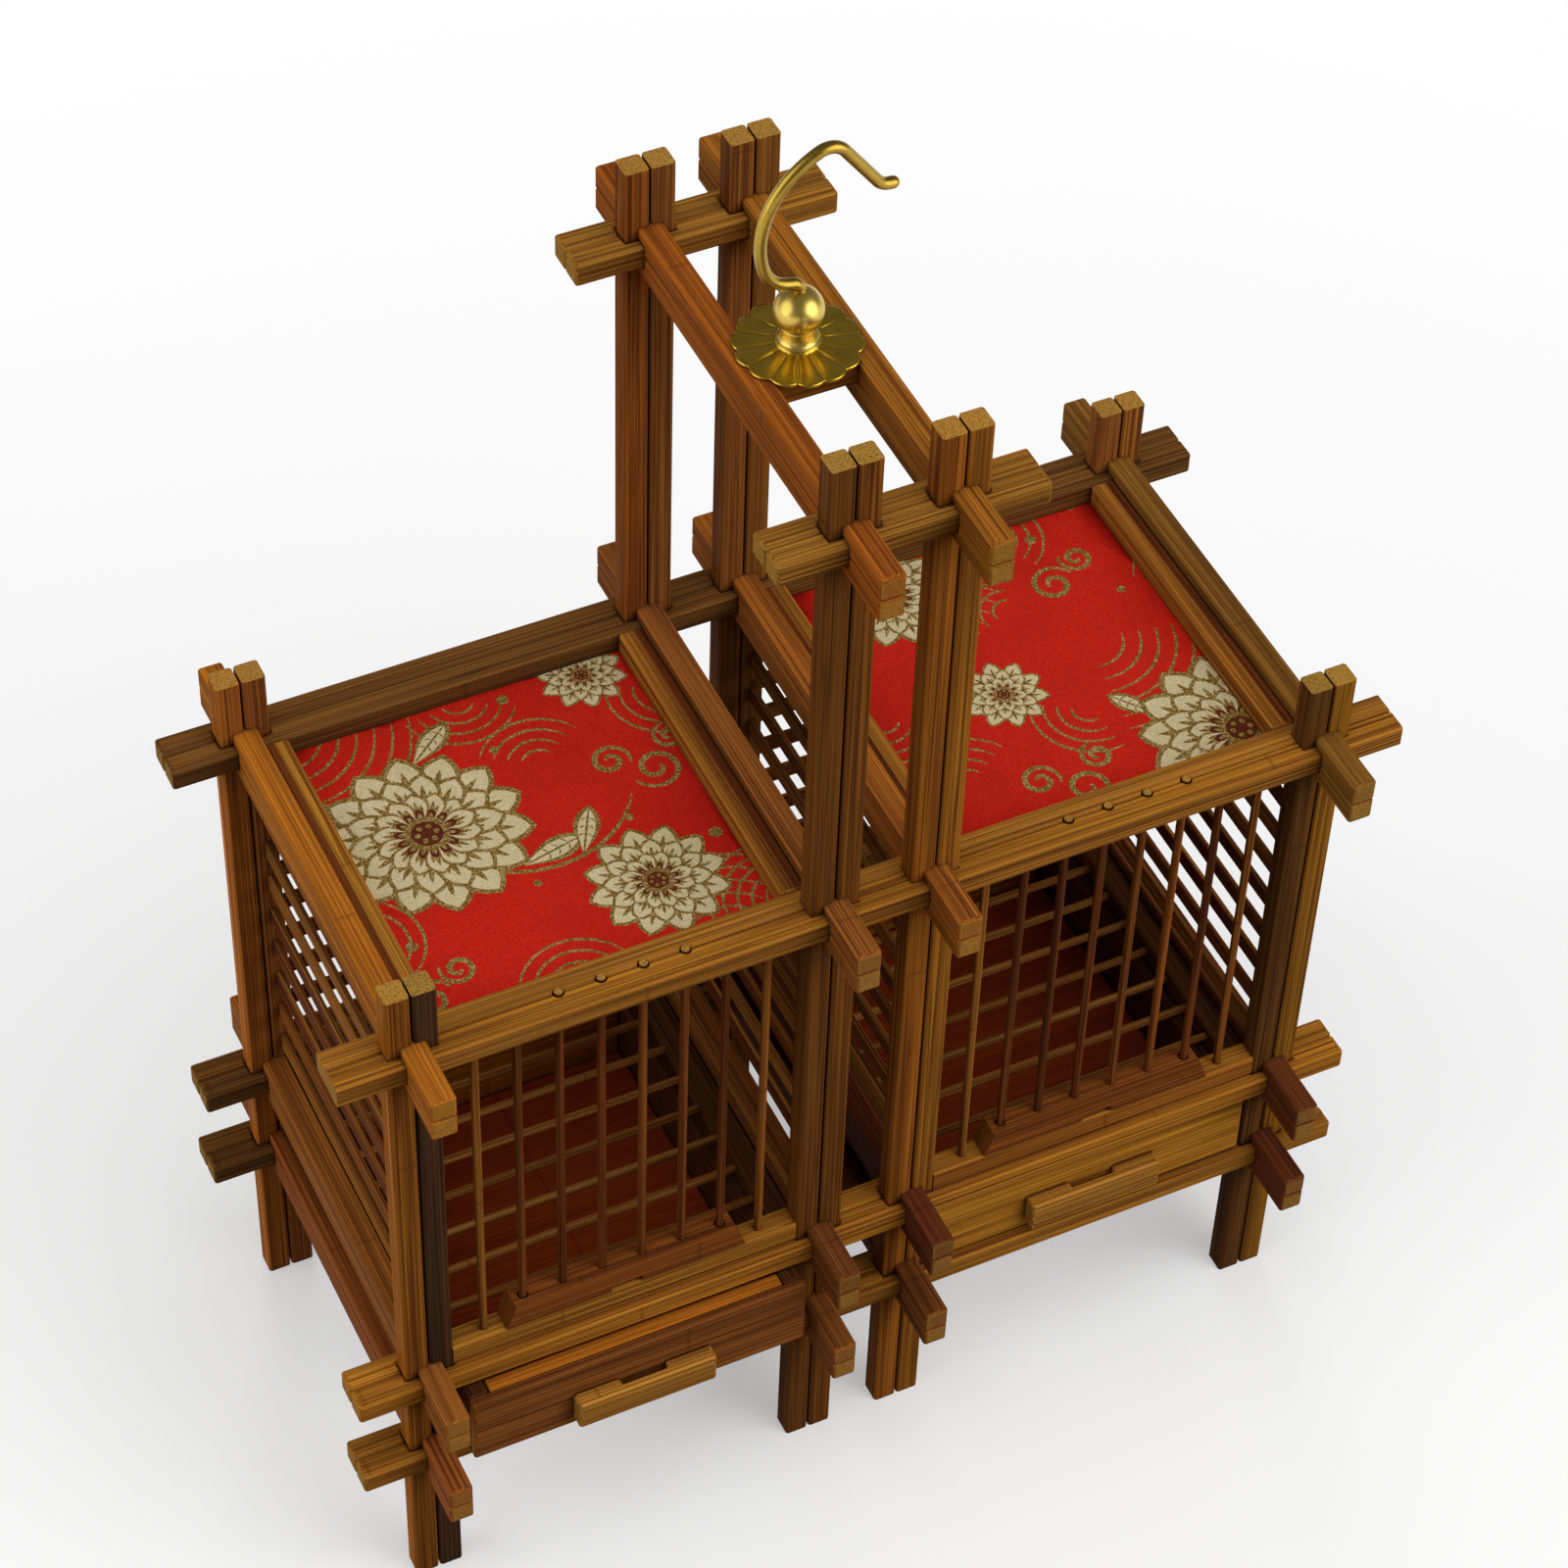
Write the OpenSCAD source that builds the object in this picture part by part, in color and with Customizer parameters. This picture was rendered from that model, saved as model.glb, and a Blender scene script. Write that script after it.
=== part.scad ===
// Two-chamber bamboo cricket cage: a lattice of interlocked stick pairs with a carrying handle,
// a lift-up front grille and a drawer for each chamber, cloth-covered tops and a swivelling brass hook.
// X runs along the front, Y towards the rear, Z up from the ground under the feet.

/* [Sticks] */
// Side of every square bamboo stick
stick = 6; // [5.5:0.5:7]
// Chamfer along the edges of the sticks
stick_edge = 0.5; // [0.2:0.1:0.8]

/* [Lattice] */
// Post spacing across one chamber
chamber_w = 101; // [92:1:120]
// Post spacing across the gap between the chambers
gap_w = 25; // [24:1:40]
// Post spacing from front to rear
chamber_d = 101.6; // [90:0.2:120]
// Ground to the middle of the base rails
leg_h = 50; // [35:1:70]
// Base rails to floor rails
bay_h = 28.5; // [24:0.5:36]
// Floor rails to top rails
chamber_h = 117.5; // [105:0.5:135]
// Top rails to handle rails
handle_h = 116; // [90:1:140]
// Reach of the long rails past the posts
end_x = 19; // [14:0.5:26]
// Reach of the side rails past the posts
end_y = 20.5; // [14:0.5:26]
// Reach of the posts above the highest rails they carry
end_z = 21.5; // [14:0.5:26]

/* [Walls] */
// Slats in each wall
slat_count = 9; // [7:1:10]
// Height of a slat
slat_h = 5; // [4:0.5:8]
// Thickness of a slat
slat_t = 1.2; // [1:0.1:3]
// Chamfer along the edges of a slat
slat_edge = 0.3; // [0.1:0.1:0.4]
// Depth of a slat end in its post
tenon = 1.2; // [0.5:0.1:1.2]

/* [Bars] */
// Diameter of the thin round bars
bar_d = 2; // [1.5:0.1:2.4]
// Upright bars across one chamber front
bar_count = 8; // [6:1:8]
// Middle of an outermost upright bar to the post beside it
bar_side = 8.9; // [8:0.1:11]
// Bars across one chamber floor
floor_bar_count = 8; // [6:1:10]
// Middle of an outermost floor bar to the rail beside it
floor_bar_side = 8.5; // [6:0.1:11]
// Depth of a glued bar end
bar_seat = 4; // [2:0.5:5]
// Height of a sliding bar above the top rail
bar_proud = 0.4; // [0.3:0.1:2]

/* [Front grille] */
// Height of the strip that the sliding bars stand in
lift_h = 7; // [6:0.5:9]
// Depth of that strip
lift_d = 6.6; // [5.5:0.1:8]
// Top of the strip past its guide bars
lift_over = 3; // [2.6:0.1:3.5]
// Slope at each end of the strip
lift_bevel = 2.5; // [1:0.1:2.8]
// Width of the finger nick under the strip
nick_w = 8; // [5:0.5:12]
// Height of the nick
nick_h = 2; // [1:0.25:3]
// Depth of the nick
nick_d = 2; // [1:0.25:2]

/* [Drawers] */
// Front of a closed drawer behind the face of the rails
drawer_recess = 2.6; // [0.5:0.1:3.5]
// Distance that the left drawer stands open
left_drawer_out = 8.4; // [0:0.2:40]
// Thickness of the drawer face board
face_t = 2.5; // [2:0.25:4]
// Thickness of the drawer side walls
side_t = 5; // [3:0.5:6]
// Thickness of the drawer front and back strips
end_t = 4; // [3:0.5:6]
// Thickness of the drawer bottom
bottom_t = 2.5; // [2:0.25:4]
// Length of the pull
pull_w = 36; // [28:1:44]
// Height of the pull
pull_h = 9; // [7:0.5:10]
// Depth of the pull
pull_d = 4.2; // [3.6:0.1:6]
// Lower edge of the pull above the lower edge of its drawer
pull_lift = 3; // [2:0.5:5]
// Length of the finger slot behind the pull
slot_w = 12; // [9:0.5:16]
// Depth of the finger slot
slot_d = 2; // [1.5:0.1:2.4]

/* [Top panels] */
// Thickness of the panel board
board_t = 3; // [2:0.25:4]
// Thickness of the cloth on it
cloth_t = 0.8; // [0.5:0.1:1.5]

/* [Hook] */
// Front to rear size of the block that carries the hook
block_d = 20; // [16:1:26]
// Diameter of the rosette
rosette_d = 28.5; // [26:0.5:34]
// Petals around the rosette
petal_count = 14; // [10:1:16]
// Radius of the end of a petal
petal_r = 3.75; // [3.4:0.05:4.5]
// Thickness of the rosette at its rim
rosette_t = 0.8; // [0.6:0.1:1.5]
// Height of the rosette at its middle
rosette_h = 1.9; // [1.5:0.1:2.4]
// Diameter of the ball
ball_d = 11; // [10:0.5:12]
// Middle of the ball above the rails
ball_z = 9.8; // [8.8:0.1:11]
// Diameter of the neck under the ball
neck_d = 8.3; // [7:0.1:9]
// Diameter of the ring at the foot of the neck
ring_d = 9.8; // [9.2:0.1:10]
// Height of that ring
ring_h = 0.7; // [0.4:0.1:1]
// Diameter of the stem through the block
stem_d = 3; // [2.5:0.1:4]
// Diameter of the hook wire
wire_d = 2.8; // [2:0.1:3]
// Depth of the wire end in the ball
wire_seat = 4; // [3:0.25:4.5]
// Width of the nut across its flats
nut_w = 5.5; // [5:0.25:8]
// Thickness of the nut
nut_t = 2.4; // [2:0.1:3.5]
// Diameter of the washer
washer_d = 9; // [8:0.5:12]
// Thickness of the washer
washer_t = 0.8; // [0.5:0.1:1.2]

/* [Clearances] */
// Gap between the two sticks of a post
post_gap = 0.5; // [0.2:0.1:0.8]
// Gap between the two sticks of a rail
rail_gap = 0.06; // [0.04:0.01:0.1]
// Gap around a glued bar or slat
glue_gap = 0.05; // [0.02:0.01:0.08]
// Gap around a bar that slides
slide_gap = 0.35; // [0.3:0.05:0.4]
// Gap between the stem and its bores
stem_gap = 0.05; // [0.03:0.01:0.08]
// Gap under the neck and over the washer
swivel_gap = 0.1; // [0.1:0.05:0.3]
// Gap under a closed front grille
lift_gap = 0.2; // [0.15:0.05:0.4]
// Gap at each side of a drawer
drawer_side_gap = 1; // [0.5:0.1:1.5]
// Gap under a drawer
drawer_low_gap = 0.3; // [0.2:0.05:0.5]
// Gap over a drawer
drawer_top_gap = 0.7; // [0.4:0.1:1.2]
// Gap behind a closed drawer
drawer_back_gap = 0.5; // [0.3:0.1:1]

/* [Hidden] */
$fn = 32;
x_in = gap_w/2;
x_out = gap_w/2 + chamber_w;
y_front = -chamber_d/2;
y_rear = chamber_d/2;
z_base = leg_h;
z_floor = z_base + bay_h;
z_top = z_floor + chamber_h;
z_handle = z_top + handle_h;

// Clear room between the posts, the side rails and the long rails of a chamber
chamber_x = x_in + chamber_w/2;
clear_w = chamber_w - 2*stick;
rail_gap_w = chamber_w - stick;
clear_d = chamber_d - 2*stick;

slat_pitch = (chamber_h - 2*stick)/slat_count;
slat_heights = [for (i = [0:slat_count - 1]) z_floor + stick + slat_pitch*(i + 0.5)];
bay_slat_z = z_base + bay_h/2;

bar_pitch = (clear_w - 2*bar_side)/(bar_count - 1);
function bar_x(i) = (i - (bar_count - 1)/2)*bar_pitch;
// The two bars at each side stand still and the bars between them slide
still_bars = [0, 1, bar_count - 2, bar_count - 1];
guide_bars = [1, bar_count - 2];
lift_bars = [for (i = [2:bar_count - 3]) i];
floor_bar_pitch = (clear_d - 2*floor_bar_side)/(floor_bar_count - 1);
floor_bar_l = rail_gap_w - 2*(stick - bar_seat);

sill_top = z_floor + 1.5*stick;
lift_low = sill_top + lift_gap;
lift_top = lift_low + lift_h;
lift_half = bar_x(guide_bars[1]) + lift_over;

drawer_w = clear_w - 2*drawer_side_gap;
drawer_low = z_base + stick/2 + drawer_low_gap;
drawer_high = z_floor - stick/2 - drawer_top_gap;
drawer_h = drawer_high - drawer_low;
drawer_face_y = y_front - stick + drawer_recess;
drawer_back_y = y_rear - slat_t/2 - drawer_back_gap;

hook_seat = z_handle + stick;
block_low = hook_seat - stick;
washer_top = block_low - swivel_gap;
neck_low = hook_seat + rosette_h + swivel_gap;
stem_r = stem_d/2;
nut_top = washer_top - washer_t - glue_gap;
// The stem ends a little below the nut
stem_low = nut_top - nut_t - 1;

// Hook wire from the ball upwards: straight run, bend radius, turn to the left in degrees
hook_bends = [[3.9, 2.2, 82], [0, 8.1, -65], [0, 23.3, -80], [0, 4.7, -80], [13, 4, 49], [2.2, 0, 0]];
wire_sides = 12;
bend_step = 12;

bamboo = "#9a6532";
pale_bamboo = "#b98a4a";
red_bamboo = "#7c3f22";
red_cloth = "#b8201c";
brass = "#c9a23c";

// Rectangle with chamfered corners, from low to high corner
function bevelled(low, high, c) = [
  [low[0] + c, low[1]], [high[0] - c, low[1]], [high[0], low[1] + c], [high[0], high[1] - c],
  [high[0] - c, high[1]], [low[0] + c, high[1]], [low[0], high[1] - c], [low[0], low[1] + c]
];

// Bar along X with a bevelled section around its axis: w across Y and h across Z
module batten(length, w, h, edge) {
  translate([-length/2, 0, 0])
    rotate([90, 0, 90])
      linear_extrude(length)
        polygon(bevelled([-w/2, -h/2], [w/2, h/2], edge));
}

// One stick along X, its inner face half a gap from Y = 0, notched to half its depth at each joint
module notched_stick(from, to, joints, gap) {
  difference() {
    translate([(from + to)/2, stick/2 + gap/4, 0])
      batten(to - from, stick - gap/2, stick, stick_edge);
    for (j = joints) translate([j - stick, -stick/2, -stick]) cube([2*stick, stick, 2*stick]);
  }
}

// Two sticks back to back, parted on the plane Y = 0
module stick_pair(from, to, joints, gap = rail_gap) {
  notched_stick(from, to, joints, gap);
  mirror([0, 1, 0]) notched_stick(from, to, joints, gap);
}

// Post pair, parted on its X; in_x and in_y point into its chamber
module post(x, y, in_x, in_y) {
  inner = abs(x) == x_in;
  joints = inner ? [z_base, z_floor, z_top, z_handle] : [z_base, z_floor, z_top];
  rear = y > 0;
  color(bamboo) difference() {
    translate([x, y, 0]) rotate([0, -90, -90])
      stick_pair(0, joints[len(joints) - 1] + end_z, joints, post_gap);
    for (z = slat_heights)
      translate([x + in_x*stick/2, y + in_y*stick/2, z])
        cube([slat_t + 2*glue_gap, 2*tenon, slat_h + 2*glue_gap], center = true);
    if (rear)
      for (z = concat(slat_heights, bay_slat_z))
        translate([x + in_x*stick, y, z])
          cube([2*tenon, slat_t + 2*glue_gap, slat_h + 2*glue_gap], center = true);
  }
}

// Long rail pair along the front or the rear
module long_rail(y, z) {
  color(bamboo)
    translate([0, y, z])
      stick_pair(-x_out - end_x, x_out + end_x, [-x_out, -x_in, x_in, x_out]);
}

// Top front rail: glued bars end in it and sliding bars pass through it
module front_top_rail() {
  color(bamboo) difference() {
    long_rail(y_front, z_top);
    for (side = [-1, 1]) translate([side*chamber_x, y_front, z_top]) {
      for (i = still_bars)
        translate([bar_x(i), 0, -stick]) cylinder(d = bar_d + 2*glue_gap, h = stick/2 + bar_seat);
      for (i = lift_bars)
        translate([bar_x(i), 0, -stick]) cylinder(d = bar_d + 2*slide_gap, h = 2*stick);
    }
  }
}

module handle_end_rails() {
  color(bamboo)
    for (y = [y_front, y_rear]) translate([0, y, z_handle])
      stick_pair(-x_in - end_x, x_in + end_x, [-x_in, x_in]);
}

// Rail pair from front to rear, parted on its Z
module side_rail(x, z) {
  translate([x, 0, z]) rotate([90, 0, 90])
    stick_pair(y_front - end_y, y_rear + end_y, [y_front, y_rear]);
}

module side_rails(side, z) {
  color(bamboo) for (x = [x_in, x_out]) side_rail(side*x, z);
}

module handle_grip_rails() {
  color(bamboo) for (x = [-x_in, x_in]) side_rail(x, z_handle);
}

// Wall of slats from front to rear, let into the posts
module side_slats(x) {
  color(red_bamboo)
    for (z = slat_heights)
      translate([x, 0, z]) rotate([0, 0, 90])
        batten(chamber_d - stick + 2*(tenon - glue_gap), slat_t, slat_h, slat_edge);
}

// Rear wall of slats; the lowest one closes the drawer bay and stops the drawer
module rear_slats(side) {
  color(red_bamboo)
    for (z = concat(slat_heights, bay_slat_z))
      translate([side*chamber_x, y_rear, z])
        batten(clear_w + 2*(tenon - glue_gap), slat_t, slat_h, slat_edge);
}

// Pair of sticks beside the side rails of a chamber, from long rail to long rail
module side_strips(side, z) {
  for (dir = [-1, 1])
    translate([side*chamber_x + dir*(rail_gap_w - stick)/2, 0, z]) rotate([0, 0, 90])
      batten(clear_d, stick, stick, stick_edge);
}

module floor_bar_set(side, gap) {
  for (i = [0:floor_bar_count - 1])
    translate([side*chamber_x, (i - (floor_bar_count - 1)/2)*floor_bar_pitch, z_floor])
      rotate([0, 90, 0])
        cylinder(d = bar_d + 2*gap, h = floor_bar_l - 2*glue_gap + 2*gap, center = true);
}

module floor_bars(side) {
  color(pale_bamboo) floor_bar_set(side, 0);
}

module floor_strips() {
  color(bamboo) for (side = [-1, 1]) difference() {
    side_strips(side, z_floor);
    floor_bar_set(side, glue_gap);
  }
}

module drawer_runners() {
  color(bamboo) for (side = [-1, 1]) side_strips(side, z_base);
}

// Stick on the floor rail that the glued bars stand in
module door_sills() {
  color(bamboo) for (side = [-1, 1]) translate([side*chamber_x, y_front, z_floor + stick]) difference() {
    batten(clear_w, stick, stick, stick_edge);
    for (i = still_bars)
      translate([bar_x(i), 0, 0]) cylinder(d = bar_d + 2*glue_gap, h = 2*stick, center = true);
  }
}

module still_bars(side) {
  low = z_floor + stick/2;
  color(red_bamboo) for (i = still_bars)
    translate([side*chamber_x + bar_x(i), y_front, low])
      cylinder(d = bar_d, h = z_top - stick/2 + bar_seat - glue_gap - low);
}

// Strip at the foot of the sliding bars, bored for its guide bars
module door_strip(side) {
  color(red_bamboo) translate([side*chamber_x, y_front, lift_low]) difference() {
    translate([0, lift_d/2, 0]) rotate([90, 0, 0]) linear_extrude(lift_d)
      polygon([[-lift_half - lift_bevel, 0], [lift_half + lift_bevel, 0],
               [lift_half, lift_h], [-lift_half, lift_h]]);
    for (i = guide_bars)
      translate([bar_x(i), 0, -lift_h]) cylinder(d = bar_d + 2*slide_gap, h = 3*lift_h);
    for (i = lift_bars)
      translate([bar_x(i), 0, lift_h - bar_seat]) cylinder(d = bar_d + 2*glue_gap, h = lift_h);
    translate([-nick_w/2, -lift_d, -nick_h]) cube([nick_w, lift_d/2 + nick_d, 2*nick_h]);
  }
}

module door_bars(side) {
  low = lift_top - bar_seat;
  color(red_bamboo) for (i = lift_bars)
    translate([side*chamber_x + bar_x(i), y_front, low])
      cylinder(d = bar_d, h = z_top + stick/2 + bar_proud - low);
}

module panel_board(side) {
  color(bamboo)
    translate([side*chamber_x - rail_gap_w/2, y_front + stick, z_top - stick/2 - board_t])
      cube([rail_gap_w, clear_d, board_t]);
}

module panel_cloth(side) {
  cloth_w = rail_gap_w - 2*stick;
  color(red_cloth)
    translate([side*chamber_x - cloth_w/2, y_front + stick, z_top - stick/2])
      cube([cloth_w, clear_d, cloth_t]);
}

module panel_strips(side) {
  color(bamboo) side_strips(side, z_top);
}

// Places a drawer piece: origin at the lower edge of the face, in the middle of the drawer
module in_drawer(side) {
  out = side < 0 ? left_drawer_out : 0;
  translate([side*chamber_x, drawer_face_y - out, drawer_low]) children();
}

module drawer_face(side) {
  color(side < 0 ? red_bamboo : pale_bamboo)
    in_drawer(side) translate([-drawer_w/2, 0, 0]) cube([drawer_w, face_t, drawer_h]);
}

// Two side walls with a front and a back strip between them
module drawer_walls(side) {
  depth = drawer_back_y - drawer_face_y;
  inside_w = drawer_w - 2*side_t;
  color(bamboo) in_drawer(side) {
    for (x = [-drawer_w/2, inside_w/2])
      translate([x, face_t, 0]) cube([side_t, depth - face_t, drawer_h]);
    for (y = [face_t, depth - end_t])
      translate([-inside_w/2 + glue_gap, y, 0]) cube([inside_w - 2*glue_gap, end_t, drawer_h]);
  }
}

module drawer_bottom(side) {
  depth = drawer_back_y - drawer_face_y;
  inside_w = drawer_w - 2*side_t;
  color(red_bamboo) in_drawer(side)
    translate([-inside_w/2, face_t + end_t, 0]) cube([inside_w, depth - face_t - 2*end_t, bottom_t]);
}

// Pull with a finger slot between its middle and the face
module drawer_pull(side) {
  color(pale_bamboo) in_drawer(side) translate([0, 0, pull_lift + pull_h/2]) difference() {
    translate([0, -pull_d/2, 0]) batten(pull_w, pull_d, pull_h, stick_edge);
    cube([slot_w, 2*slot_d, 2*pull_h], center = true);
  }
}

// Block between the grip rails, bored for the hook stem
module hook_block() {
  color(bamboo) translate([-x_in + stick/2, -block_d/2, block_low]) difference() {
    cube([gap_w - stick, block_d, stick]);
    translate([x_in - stick/2, block_d/2, -stick]) cylinder(r = stem_r + stem_gap, h = 3*stick);
  }
}

// Scalloped plate, raised towards its middle
module hook_rosette() {
  rise_r = rosette_d/2 - petal_r/2;
  color(brass) translate([0, 0, hook_seat]) difference() {
    union() {
      cylinder(r = rosette_d/2 - petal_r, h = rosette_t);
      for (i = [0:petal_count - 1])
        rotate([0, 0, i*360/petal_count])
          translate([rosette_d/2 - petal_r, 0, 0]) cylinder(r = petal_r, h = rosette_t);
      translate([0, 0, rosette_t/2])
        cylinder(r1 = rise_r, r2 = neck_d/2, h = rosette_h - rosette_t/2);
    }
    translate([0, 0, -rosette_h]) cylinder(r = stem_r + stem_gap, h = 3*rosette_h);
  }
}

// Ball, ring and neck on the stem, with a socket for the wire on top
module hook_ball() {
  color(brass) difference() {
    union() {
      translate([0, 0, stem_low]) cylinder(r = stem_r, h = hook_seat + ball_z - stem_low);
      translate([0, 0, neck_low]) cylinder(d = neck_d, h = hook_seat + ball_z - neck_low);
      translate([0, 0, neck_low]) cylinder(d = ring_d, h = ring_h);
      translate([0, 0, hook_seat + ball_z]) sphere(d = ball_d, $fn = 64);
    }
    translate([0, 0, hook_seat + ball_z + ball_d/2 - wire_seat])
      cylinder(d = wire_d + 2*glue_gap, h = 2*wire_seat);
  }
}

function heading(a) = [cos(a), 0, sin(a)];
function left_of(a) = [-sin(a), 0, cos(a)];
function bend_point(p, a, r, turn) = p + sign(turn)*r*(left_of(a) - left_of(a + turn));

// Points of the wire with the heading at each, from bend i on
function wire_path(i, p, a) = i == len(hook_bends) ? [] :
  let (run = hook_bends[i][0], r = hook_bends[i][1], turn = hook_bends[i][2],
       q = p + run*heading(a), steps = ceil(abs(turn)/bend_step))
  concat(run > 0 ? [[q, a]] : [],
         [for (k = [1:1:steps]) [bend_point(q, a, r, turn*k/steps), a + turn*k/steps]],
         wire_path(i + 1, bend_point(q, a, r, turn), a + turn));

module hook_wire() {
  start = [0, 0, hook_seat + ball_z + ball_d/2 - wire_seat];
  path = concat([[start, 90]], wire_path(0, start, 90));
  last = len(path) - 1;
  corners = [for (s = path) for (k = [0:wire_sides - 1])
    s[0] + wire_d/2*(cos(k*360/wire_sides)*[0, 1, 0] + sin(k*360/wire_sides)*left_of(s[1]))];
  function corner(ring, k) = ring*wire_sides + k % wire_sides;
  walls = [for (j = [0:last - 1]) for (k = [0:wire_sides - 1]) for (face = [
    [corner(j, k), corner(j, k + 1), corner(j + 1, k)],
    [corner(j, k + 1), corner(j + 1, k + 1), corner(j + 1, k)]]) face];
  caps = concat([for (k = [1:wire_sides - 2]) [corner(0, 0), corner(0, k + 1), corner(0, k)]],
                [for (k = [1:wire_sides - 2]) [corner(last, 0), corner(last, k), corner(last, k + 1)]]);
  color(brass) polyhedron(corners, concat(walls, caps));
}

// Washer and nut on the stem under the block
module hook_nut() {
  color(brass) {
    translate([0, 0, washer_top - washer_t]) difference() {
      cylinder(d = washer_d, h = washer_t);
      translate([0, 0, -washer_t]) cylinder(r = stem_r + stem_gap, h = 3*washer_t);
    }
    translate([0, 0, nut_top - nut_t]) difference() {
      cylinder(d = nut_w/cos(30), h = nut_t, $fn = 6);
      translate([0, 0, -nut_t]) cylinder(r = stem_r + stem_gap, h = 3*nut_t);
    }
  }
}

post(-x_out, y_front, 1, 1);  // post_front_left_outer
post(-x_in, y_front, -1, 1);  // post_front_left_inner
post(x_in, y_front, 1, 1);  // post_front_right_inner
post(x_out, y_front, -1, 1);  // post_front_right_outer
post(-x_out, y_rear, 1, -1);  // post_rear_left_outer
post(-x_in, y_rear, -1, -1);  // post_rear_left_inner
post(x_in, y_rear, 1, -1);  // post_rear_right_inner
post(x_out, y_rear, -1, -1);  // post_rear_right_outer
long_rail(y_front, z_base);  // front_base_rail
long_rail(y_front, z_floor);  // front_floor_rail
front_top_rail();
long_rail(y_rear, z_base);  // rear_base_rail
long_rail(y_rear, z_floor);  // rear_floor_rail
long_rail(y_rear, z_top);  // rear_top_rail
handle_end_rails();
side_rails(-1, z_base);  // left_base_side_rails
side_rails(-1, z_floor);  // left_floor_side_rails
side_rails(-1, z_top);  // left_top_side_rails
side_rails(1, z_base);  // right_base_side_rails
side_rails(1, z_floor);  // right_floor_side_rails
side_rails(1, z_top);  // right_top_side_rails
handle_grip_rails();
side_slats(-x_out + stick/2);  // left_outer_slats
side_slats(-x_in - stick/2);  // left_inner_slats
side_slats(x_in + stick/2);  // right_inner_slats
side_slats(x_out - stick/2);  // right_outer_slats
rear_slats(-1);  // left_rear_slats
rear_slats(1);  // right_rear_slats
floor_bars(-1);  // left_floor_bars
floor_bars(1);  // right_floor_bars
floor_strips();
drawer_runners();
door_sills();
still_bars(-1);  // left_still_bars
still_bars(1);  // right_still_bars
door_strip(-1);  // left_door_strip
door_strip(1);  // right_door_strip
door_bars(-1);  // left_door_bars
door_bars(1);  // right_door_bars
panel_board(-1);  // left_panel_board
panel_board(1);  // right_panel_board
panel_cloth(-1);  // left_panel_cloth
panel_cloth(1);  // right_panel_cloth
panel_strips(-1);  // left_panel_strips
panel_strips(1);  // right_panel_strips
drawer_face(-1);  // left_drawer_face
drawer_face(1);  // right_drawer_face
drawer_walls(-1);  // left_drawer_walls
drawer_walls(1);  // right_drawer_walls
drawer_bottom(-1);  // left_drawer_bottom
drawer_bottom(1);  // right_drawer_bottom
drawer_pull(-1);  // left_drawer_pull
drawer_pull(1);  // right_drawer_pull
hook_block();
hook_rosette();
hook_ball();
hook_wire();
hook_nut();
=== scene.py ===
import bpy
import bmesh
import math
from mathutils import Matrix, Vector
from mathutils.geometry import delaunay_2d_cdt


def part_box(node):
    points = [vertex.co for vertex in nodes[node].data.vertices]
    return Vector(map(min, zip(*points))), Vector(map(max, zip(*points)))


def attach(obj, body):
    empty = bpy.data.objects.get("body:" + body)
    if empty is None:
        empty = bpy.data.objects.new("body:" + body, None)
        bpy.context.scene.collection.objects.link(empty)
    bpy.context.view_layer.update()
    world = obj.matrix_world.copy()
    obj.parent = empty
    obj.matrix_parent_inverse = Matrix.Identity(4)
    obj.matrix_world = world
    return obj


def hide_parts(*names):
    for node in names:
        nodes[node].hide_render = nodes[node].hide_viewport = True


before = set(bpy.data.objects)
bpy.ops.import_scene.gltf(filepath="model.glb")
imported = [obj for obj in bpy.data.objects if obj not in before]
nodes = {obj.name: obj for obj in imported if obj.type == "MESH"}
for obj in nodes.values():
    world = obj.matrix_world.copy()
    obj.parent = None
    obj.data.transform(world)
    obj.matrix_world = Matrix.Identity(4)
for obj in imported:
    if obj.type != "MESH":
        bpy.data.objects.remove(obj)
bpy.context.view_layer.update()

mm = 0.001
print("frame loaded:", len(nodes), "nodes")


# shader building

def linear(hexColour):
    parts = [int(hexColour[i:i + 2], 16) / 255 for i in (1, 3, 5)]
    return tuple(c / 12.92 if c <= 0.04045 else ((c + 0.055) / 1.055) ** 2.4 for c in parts) + (1.0,)


def newMaterial(name):
    material = bpy.data.materials.new(name)
    material.use_nodes = True
    return material, material.node_tree, material.node_tree.nodes["Principled BSDF"]


def feed(tree, node, values):
    # a socket is linked, anything else is set on the node's own socket
    for key, value in values.items():
        if isinstance(value, bpy.types.NodeSocket):
            tree.links.new(value, node.inputs[key])
        else:
            node.inputs[key].default_value = value


def add(tree, kind, ins=None, **settings):
    node = tree.nodes.new(kind)
    for key, value in settings.items():
        setattr(node, key, value)
    feed(tree, node, ins or {})
    return node


def maths(tree, operation, *values):
    return add(tree, "ShaderNodeMath", dict(enumerate(values)), operation=operation).outputs[0]


def vectors(tree, operation, *values):
    node = add(tree, "ShaderNodeVectorMath", dict(enumerate(values)), operation=operation)
    return node.outputs["Value" if operation in ("DOT_PRODUCT", "LENGTH") else "Vector"]


def remap(tree, value, low, high, toLow=0.0, toHigh=1.0):
    ins = {"Value": value, "From Min": low, "From Max": high, "To Min": toLow, "To Max": toHigh}
    return add(tree, "ShaderNodeMapRange", ins).outputs["Result"]


def blend(tree, amount, first, second, how="MIX"):
    node = add(tree, "ShaderNodeMix", {0: amount, 6: first, 7: second}, data_type="RGBA", blend_type=how)
    return node.outputs[2]


def tinted(tree, colour, factors):
    return blend(tree, 1.0, colour, factors + (1.0,), "MULTIPLY")


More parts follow.
